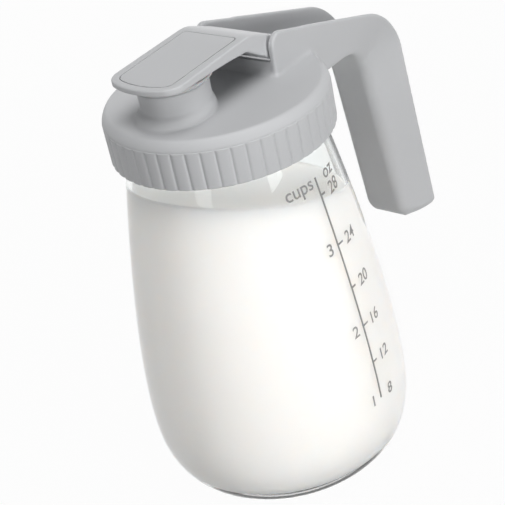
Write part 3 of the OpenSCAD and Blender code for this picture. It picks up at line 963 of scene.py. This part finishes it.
@dataclass
class Lid(Layout):
    """The lid moulding: crowned top, spout, handle, ribbed skirt and thread."""

    handle: Handle = field(default_factory=Handle)
    lid_r: float = 42.5
    bore_r: float = 39.3
    thread_z: float = 147.0
    band_z: float = 158.2
    rim_z: float = 162.2
    crest_r: float = 40.0
    crown: float = 0.6
    ribs: int = 50
    rib_depth: float = 0.6
    spout_bore: float = 11.0
    spout_z: float = 174.0
    foot_h: float = 3.9
    foot_flare: float = 1.9
    foot_ahead: float = 1.5
    foot_power: float = 1.6
    gasket_ring_r: float = 33.0
    gasket_ring_t: float = 1.2
    gasket_ring_h: float = 1.0
    rooted: float = 3.0
    lip_round: float = 0.8
    bore_round: float = 0.7
    foot_fillet: float = 0.7
    socket_r: float = 2.12
    socket_depth: float = 1.2
    spout_fillet: float = 0.45
    handle_fillet: float = 1.7
    cross_fillet: float = 0.9
    cross_t: float = 1.8
    step: float = 0.62

    def top_z(self, r: Array | float) -> Array:
        """Height of the lid's low crown: rim plus crown times one less (r / crest)^2."""
        return self.rim_z + self.crown * (1 - (np.asarray(r) / self.crest_r) ** 2)

    def top_outline(self) -> Outline:
        """Section of the lid's top: collar, bevel, crest and crown, in (radius, height)."""
        out, rise = self.lid_r, self.rim_z - self.band_z
        bevel = [[out - 0.75, self.band_z - 0.6], [out - 0.12, self.band_z - 0.1],
                 [out - 0.14, self.band_z + 0.1 * rise], [out - 0.3, self.band_z + 0.25 * rise],
                 [out - 0.6, self.band_z + 0.43 * rise], [out - 1.05, self.band_z + 0.64 * rise],
                 [out - 1.65, self.band_z + 0.83 * rise],
                 [self.crest_r + 0.2, self.rim_z - 0.12], [self.crest_r - 0.15, self.rim_z + 0.01]]
        inward = np.linspace(self.crest_r - 1.0, -6.0, 24)
        crown = np.stack([inward, self.top_z(np.abs(inward))], 1)
        return Outline(np.concatenate([[[-6.0, self.band_z - 0.6]], bevel, crown]))

    def foot(self, x: Array, y: Array, z: Array) -> Array:
        """Signed distance of the spout's foot, a round shoulder that swells to the front.

        With u the share of its height, its radius is the spout's plus the flare times the
        superellipse (1 - u^p)^(1 / p).
        """
        low = float(self.top_z(20.0))
        u = np.clip((z - low + 0.4) / self.foot_h, 0.0, 1.0)
        power = self.foot_power
        radius = self.spout_r + self.foot_flare * (1 - u ** power) ** (1 / power)
        ahead = self.foot_ahead * (1 - u)
        reach = np.hypot(x, y - self.spout_y + ahead) - radius
        return np.maximum(reach * 0.8, np.maximum(low - self.rooted - z,
                                                  z - low - self.foot_h + 0.4))

    def cross_wall(self) -> Outline:
        """Side view of the low wall under the knuckle, in (y, height)."""
        y, top, rim = self.hinge_y - 3.0, self.hinge_z - 4.9, self.rim_z
        return Outline([[y - 2.6, rim - 1.0], [y - 1.5, rim + 0.9], [y - 0.5, rim + 2.2],
                        [y, rim + 4.0], [y, top], [y + self.cross_t, top],
                        [y + self.cross_t, rim - 1.0]], 0.1)

    def moulding(self) -> Object:
        """Top, spout and handle as one meshed field with fillets between them."""
        section, wall = self.top_outline(), self.cross_wall()
        handle = self.handle

        def form(x: Array, y: Array, z: Array) -> Array:
            """Signed distance of the moulding above the skirt."""
            r = np.hypot(x, y)
            body = section.at(r, z)
            reach = np.hypot(x, y - self.spout_y)
            spout = rounded_cut(reach - self.spout_r, z - self.spout_z, self.lip_round)
            spout = np.maximum(spout, self.rim_z - self.rooted - z)
            spout = rounded_join(spout, self.foot(x, y, z), self.foot_fillet)
            shape = rounded_join(body, spout, self.spout_fillet)
            stem = handle.field(x, y, z)
            inner = np.maximum(r - self.bore_r - 1.2, z - self.band_z + 0.3)
            stem = np.maximum(stem, -inner)
            shape = rounded_join(shape, stem, self.handle_fillet)
            cross = np.maximum(wall.at(y, z), np.abs(x) - handle.half_w + handle.wall)
            shape = rounded_join(shape, cross, self.cross_fillet)
            shape = np.maximum(shape, -np.maximum(r - self.bore_r, z - self.ceiling_z))
            half_t, half_h = self.gasket_ring_t / 2, self.gasket_ring_h / 2
            ring = np.maximum(np.abs(r - self.gasket_ring_r + half_t) - half_t,
                              np.abs(z - self.ceiling_z + half_h) - half_h - 1.0)
            shape = np.minimum(shape, ring)
            shape = rounded_cut(shape, self.spout_bore - reach, self.bore_round)
            socket = np.maximum(np.hypot(y - self.hinge_y, z - self.hinge_z) - self.socket_r,
                                np.abs(x) - handle.half_w + handle.wall - self.socket_depth)
            return np.maximum(shape, -socket)

        low = (-43.5, -43.5, 52.5)
        high = (43.5, 107.0, 180.5)
        return FieldMesher(low, high, self.step).mesh("lid_moulding", form)

    def skirt(self) -> Object:
        """Ribbed skirt: a ring whose outside radius rises along each rib and steps down.

        With p the share of a rib passed, the radius is root + depth times a soft ramp that
        climbs from 0 to 1 over the first part of the rib and falls back in its last tenth.
        Towards the top the ramp fades to 1, so that the steps run out in the collar.
        """
        share = np.array([0.0, 0.05, 0.12, 0.22, 0.4, 0.62, 0.8, 0.9, 0.955])
        ramp = np.array([0.0, 0.45, 0.8, 0.93, 1.0, 1.0, 0.93, 0.72, 0.2])
        angle = ((np.arange(self.ribs)[:, None] + share) * 2 * math.pi / self.ribs).ravel()
        climb = np.tile(ramp, self.ribs)
        root = self.lid_r - self.rib_depth
        levels = np.array([[0.0, 0.0, 0.0], [0.7, 0.0, 0.0], [0.92, 0.0, 0.06], [1.0, 0.0, 0.3],
                           [1.0, 0.0, 13.0], [1.0, 0.15, 13.5], [0.98, 0.6, 14.1],
                           [0.9, 0.95, 14.5], [0.0, 1.0, 14.6]])
        relief = climb + levels[:, 1:2] * (1 - climb)
        outer_r = root - 0.55 * (levels[:, :1] < 0.3) + self.rib_depth * levels[:, :1] * relief
        outer_z = self.shoulder_z + levels[:, 2]
        inner_r = np.array([self.bore_r + 1.3, self.bore_r, self.bore_r, self.bore_r + 0.5])
        inner_z = self.shoulder_z + np.array([14.9, 14.9, 0.5, 0.0])
        radius = np.concatenate([outer_r, np.repeat(inner_r[:, None], angle.size, 1)])
        height = np.concatenate([outer_z, inner_z])[:, None]
        return lofted("lid_skirt", on_circles(radius, angle, height), closed=True)

    def build(self, finishes: Finishes) -> None:
        """Makes and dresses the lid's pieces."""
        dress(self.moulding(), finishes.lid, Body.LID, "lid")
        dress(self.skirt(), finishes.lid, Body.LID)
        ridge = thread_ridge("lid_thread", self, self.bore_r, -1.0, self.thread_z)
        dress(ridge, finishes.lid, Body.LID)


# ---- cap and seals


@dataclass
class FlipCap(Layout):
    """The cap with its plate, plug and knuckle."""

    half_w: float = 16.1
    knuckle_half_w: float = 15.6
    knuckle_r: float = 4.4
    front_y: float = -37.8
    rear_y: float = 7.0
    rear_z: float = 181.5
    slope: float = 2.6
    front_t: float = 2.25
    corner_r: float = 7.0
    front_r: float = 32.0
    margin: float = 3.1
    plate_front_w: float = 12.2
    plate_rear_w: float = 12.3
    plate_len: float = 38.8
    plate_t: float = 1.0
    plate_gap: float = 0.26
    seat_z: float = 176.4
    seam_z: float = 174.2
    flange_r: float = 15.0
    flange_bevel: float = 1.3
    plug_r: float = 10.65
    stem_r: float = 3.0
    stem_top: float = 178.2
    boss_r: float = 13.7
    boss_half_h: float = 1.0
    boss_round: float = 0.3
    boss_fillet: float = 0.5
    edge_round: float = 0.6
    barrel_round: float = 0.5
    barrel_fillet: float = 0.8
    pocket_round: float = 0.22
    trunnion_r: float = 2.0
    trunnion_tip: float = 17.5
    step: float = 0.36

    def top_z(self, y: Array) -> Array:
        """Height of the plate's sloping top."""
        return self.rear_z + (y - self.rear_y) * math.tan(math.radians(self.slope))

    def plan(self, half_w: float, rear_w: float, y0: float, y1: float, corner: float,
             rear_corner: float) -> Array:
        """Plan outline: a plate with a bulged front edge and round corners.

        The front edge is an arc of front_r that meets each corner's arc at a common tangent.

        Args:
            half_w: Half width at the front.
            rear_w: Half width at the rear edge.
            y0: Place of the front edge's tip.
            y1: Place of the rear edge.
            corner: Radius of the front corners.
            rear_corner: Radius of the rear corners.

        Returns:
            The outline's points, anticlockwise.
        """
        beta = math.asin((half_w - corner) / (self.front_r - corner))
        yk = y0 + self.front_r - (self.front_r - corner) * math.cos(beta)
        a = np.linspace(math.pi / 2, 0.0, 9)
        right_rear = np.stack([rear_w - rear_corner + rear_corner * np.cos(a),
                               y1 - rear_corner + rear_corner * np.sin(a)], 1)
        b = np.linspace(0.0, -math.pi / 2 + beta, 13)
        right_front = np.stack([half_w - corner + corner * np.cos(b), yk + corner * np.sin(b)], 1)
        c = np.linspace(-math.pi / 2 + beta, -math.pi / 2, 14)[1:]
        front = np.stack([self.front_r * np.cos(c), y0 + self.front_r
                          + self.front_r * np.sin(c)], 1)
        right = np.concatenate([right_rear, right_front, front])
        left = right[::-1][1:] * [-1, 1]
        return np.concatenate([right, left])[::-1]

    def side_view(self) -> Outline:
        """Side view of the plate and its run-down to the knuckle, in (y, height)."""
        y, z, r = self.hinge_y, self.hinge_z, self.knuckle_r
        upper = softened([[self.front_y - 3, float(self.top_z(self.front_y - 3))],
                          [self.rear_y - 5, float(self.top_z(self.rear_y - 5))],
                          [self.rear_y + 0.6, self.rear_z - 0.05],
                          [self.rear_y + 5.8, self.rear_z - 2.1],
                          [y + r * math.cos(1.2), z + r * math.sin(1.2)]], 3)
        lower = softened([[y, z - 0.5], [y - 2.4, z - 3.2], [y - 12.6, z + 3.4],
                          [y - 13.4, z + 3.95], [y - 14.4, z + 4.1], [-10.8, self.seat_z + 0.8],
                          [self.front_y - 3, float(self.top_z(self.front_y)) - self.front_t]], 2)
        return Outline(np.concatenate([upper, lower]), 0.08)

    def shell(self) -> Object:
        """The cap without its plate, as one meshed field."""
        plan = Outline(self.plan(self.half_w, self.knuckle_half_w, self.front_y, self.hinge_y,
                                 self.corner_r, 0.3), 0.08)
        side = self.side_view()
        pocket_plan = Outline(self.plate_plan(self.plate_gap), 0.06)

        def form(x: Array, y: Array, z: Array) -> Array:
            """Signed distance of the cap."""
            shape = rounded_cut(plan.at(x, y), side.at(y, z), self.edge_round)
            axis = np.hypot(y - self.hinge_y, z - self.hinge_z)
            barrel = rounded_cut(axis - self.knuckle_r, np.abs(x) - self.knuckle_half_w,
                                 self.barrel_round)
            shape = rounded_join(shape, barrel, self.barrel_fillet)
            half_h = self.boss_half_h
            boss = rounded_cut(np.hypot(x, y - self.spout_y) - self.boss_r,
                               np.abs(z - self.seat_z - half_h) - half_h, self.boss_round)
            shape = rounded_join(shape, boss, self.boss_fillet)
            pocket = np.maximum(pocket_plan.at(x, y), self.top_z(y) - self.plate_t - z)
            shape = rounded_cut(shape, -pocket, self.pocket_round)
            pin = np.maximum(axis - self.trunnion_r, np.abs(x) - self.trunnion_tip)
            return np.minimum(shape, pin)

        low = (-18.2, self.front_y - 1.2, 166.6)
        high = (18.2, self.hinge_y + 5.6, 183.2)
        return FieldMesher(low, high, self.step).mesh("cap_shell", form)

    def plate_plan(self, grow: float) -> Array:
        """Plan of the flush plate, grown outwards by a gap."""
        y0 = self.front_y + self.margin - grow
        return self.plan(self.plate_front_w + grow, self.plate_rear_w + grow, y0,
                         y0 + self.plate_len + 2 * grow, self.corner_r - self.margin, 1.5)

    def plate(self) -> Object:
        """The flush plate: its outline drawn in along rings with a small rounded edge."""
        outline = self.plate_plan(0.0)
        centre = outline.mean(0)
        after = np.roll(outline, -1, 0) - np.roll(outline, 1, 0)
        inward = np.stack([-after[:, 1], after[:, 0]], 1)
        inward /= np.linalg.norm(inward, axis=1)[:, None]
        flip = np.sign(((centre - outline) * inward).sum(1).mean())

        def ring(points: Array, up: float) -> Array:
            """A ring at this height over the cap's sloping top."""
            return np.column_stack([points, self.top_z(points[:, 1]) + up])

        under = [ring(centre + (outline - centre) * share, -0.97) for share in (0.02, 0.98)]
        edge = [ring(outline + flip * inward * way, up) for way, up in (
            (0.0, -0.92), (0.0, -0.2), (0.05, -0.08), (0.13, -0.02), (0.26, 0.0))]
        inner = outline + flip * inward * 0.26
        top = [ring(centre + (inner - centre) * share, 0.0) for share in (0.75, 0.5, 0.25, 0.02)]
        return lofted("cap_plate", np.stack(under + edge + top))

    def plug(self) -> Object:
        """Silicone plug: flange over the spout, lip in its bore, stem up into the cap."""
        r, seam, seat, flange = self.plug_r, self.seam_z, self.seat_z, self.flange_r
        profile = softened([[0.3, seam - 1.2], [r - 2.2, seam - 1.2], [r - 2.2, seam - 4.5],
                            [r - 1.2, seam - 4.5], [r - 0.2, seam - 3.1], [r - 0.2, seam],
                            [flange - self.flange_bevel, seam], [flange, seam + self.flange_bevel],
                            [flange, seat - 0.4], [flange - 0.3, seat], [self.stem_r, seat],
                            [self.stem_r, self.stem_top], [0.3, self.stem_top]], 2)
        return revolve("plug_seal", profile, 128, self.spout_y, closed=False)

    def build(self, finishes: Finishes) -> None:
        """Makes and dresses the cap's pieces."""
        dress(self.shell(), finishes.cap, Body.CAP, "flip_cap")
        dress(self.plate(), finishes.plate, Body.CAP, "cap_inlay")
        dress(self.plug(), finishes.silicone, Body.CAP, "spout_plug")


@dataclass
class Gasket(Layout):
    """The flat silicone ring under the lid."""

    inner_r: float = 33.2
    outer_r: float = 37.6
    edge_round: float = 0.3

    def build(self, finishes: Finishes) -> None:
        """Makes and dresses the ring with its bevelled edges."""
        b, low, high = self.edge_round, self.neck_top, self.ceiling_z
        profile = [[self.inner_r + b, low], [self.outer_r - b, low], [self.outer_r, low + b],
                   [self.outer_r, high - b], [self.outer_r - b, high], [self.inner_r + b, high],
                   [self.inner_r, high - b], [self.inner_r, low + b]]
        ring = revolve("gasket_ring", np.array(profile), 128)
        dress(ring, finishes.silicone, Body.GASKET, "lid_gasket")


# ---- studio


@dataclass
class Studio:
    """Camera, lamps, world and the pale floor."""

    camera_mm: Point = (310.0, -306.3, 351.4)
    target_mm: Point = (0.75, 0.76, 90.8)
    roll_deg: float = 12.36
    focal: float = 92.65
    aim_z: float = 0.09
    world_strength: float = 0.015
    floor_mm: float = 6000.0
    floor_z: float = -0.02
    floor_grey: Colour = (0.5, 0.5, 0.5)
    floor_white: float = 0.965

    def camera(self) -> None:
        """Camera at the photograph's viewing angle, rolled about its own axis."""
        data = bpy.data.cameras.new("camera")
        data.lens, data.sensor_width, data.sensor_fit = self.focal, 36.0, "HORIZONTAL"
        data.clip_start, data.clip_end = 0.02, 20.0
        camera = linked("camera", data)
        place, target = Vector(self.camera_mm) * MM, Vector(self.target_mm) * MM
        back = (place - target).normalized()
        right = Vector((0, 0, 1)).cross(back).normalized()
        up = back.cross(right)
        roll = math.radians(self.roll_deg)
        across = right * math.cos(roll) - up * math.sin(roll)
        over = up * math.cos(roll) + right * math.sin(roll)
        turn = Matrix((across, over, back)).transposed().to_4x4()
        camera.matrix_world = Matrix.Translation(place) @ turn
        bpy.context.scene.camera = camera

    def lamp(self, name: str, azimuth: float, elevation: float, distance: float, size: float,
             watts: float, mirrored: bool = True) -> None:
        """Square area lamp that looks at the middle of the jar.

        Args:
            name: Name of the lamp.
            azimuth: Its direction round the jar, in degrees from +X.
            elevation: Its height angle, in degrees.
            distance: Its distance in metres.
            size: Its side in metres.
            watts: Its power.
            mirrored: Whether its square shows in the glass.
        """
        data = bpy.data.lights.new(name, "AREA")
        data.energy, data.size = watts, size
        lamp = linked(name, data)
        lamp.visible_glossy = mirrored
        a, e = math.radians(azimuth), math.radians(elevation)
        target = Vector((0, 0, self.aim_z))
        way = Vector((math.cos(a) * math.cos(e), math.sin(a) * math.cos(e), math.sin(e)))
        lamp.matrix_world = (Matrix.Translation(target + way * distance)
                             @ way.to_track_quat("Z", "Y").to_matrix().to_4x4())

    def seen_white(self, nodes: Nodes, plain: Socket, glow: str, share: float) -> Any:
        """Mixes white into what the camera sees, directly, in a mirror or through glass.

        The factor is the share times the largest of the three rays' masks, and only before the
        ray has met a dull surface.

        Args:
            nodes: Nodes of the floor or the world.
            plain: Its ordinary shader.
            glow: Type of the node that is the white.
            share: Share of the white in those rays.

        Returns:
            The floor's material or the world.
        """
        direct, mirror, through, bounces = (
            nodes.add("ShaderNodeLightPath", {}, {}, ray)
            for ray in ("Is Camera Ray", "Is Glossy Ray", "Is Transmission Ray", "Diffuse Depth"))
        factor = (direct | mirror | through) * (bounces < 0.5) * share
        white = nodes.add(glow, {}, {"Color": WHITE})
        return nodes.output(nodes.add("ShaderNodeMixShader", {}, {0: factor, 1: plain, 2: white}))

    def world(self) -> None:
        """Even white world that lights softly and looks plain white."""
        kind = "ShaderNodeBackground"
        nodes = Nodes(bpy.data.worlds.new("studio"))
        soft = nodes.add(kind, {}, {"Color": WHITE, "Strength": self.world_strength})
        bpy.context.scene.world = self.seen_white(nodes, soft, kind, 1.0)

    def floor(self) -> None:
        """White floor that keeps a soft shadow under the jar."""
        side = self.floor_mm / 2 * np.array([[-1, -1], [1, -1], [1, 1], [-1, 1]])
        floor = make_piece("floor", np.column_stack([side, np.full(4, self.floor_z)]),
                           np.array([[0, 1, 2, 3]]))
        nodes = Nodes(bpy.data.materials.new("floor_white"))
        dull = nodes.add("ShaderNodeBsdfDiffuse", {}, {"Color": (*self.floor_grey, 1)})
        floor.data.materials.append(
            self.seen_white(nodes, dull, "ShaderNodeEmission", self.floor_white))
        floor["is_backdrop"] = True

    def build(self) -> None:
        """Sets up the whole studio."""
        self.camera()
        self.world()
        self.floor()
        self.lamp("key_lamp", 0.0, 4.0, 1.2, 0.36, 7.4, False)
        self.lamp("side_lamp", -80.0, 4.0, 1.2, 0.36, 2.8, False)
        self.lamp("top_lamp", -35.0, 76.0, 1.2, 0.9, 10.6)
        self.lamp("back_lamp", 130.0, 5.0, 1.2, 0.9, 13.0, False)
        bpy.context.scene.view_settings.view_transform = "Standard"


def corners(box: Any) -> list[list[float]]:
    return [[float(v) for v in corner] for corner in box]


def main() -> None:
    """Builds the pitcher round its frame."""
    logging.basicConfig(level=logging.INFO, format="%(name)s: %(message)s")
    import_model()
    cad_box = corners(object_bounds())
    Studio().build()
    finishes = Finishes()
    jar = Jar()
    jar.build(finishes)
    Scale(jar).build(finishes)
    Lid().build(finishes)
    FlipCap().build(finishes)
    Gasket().build(finishes)
    bpy.context.view_layer.update()
    {"cad": cad_box, "visual": corners(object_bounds())}


if __name__ == "__main__":
    main()
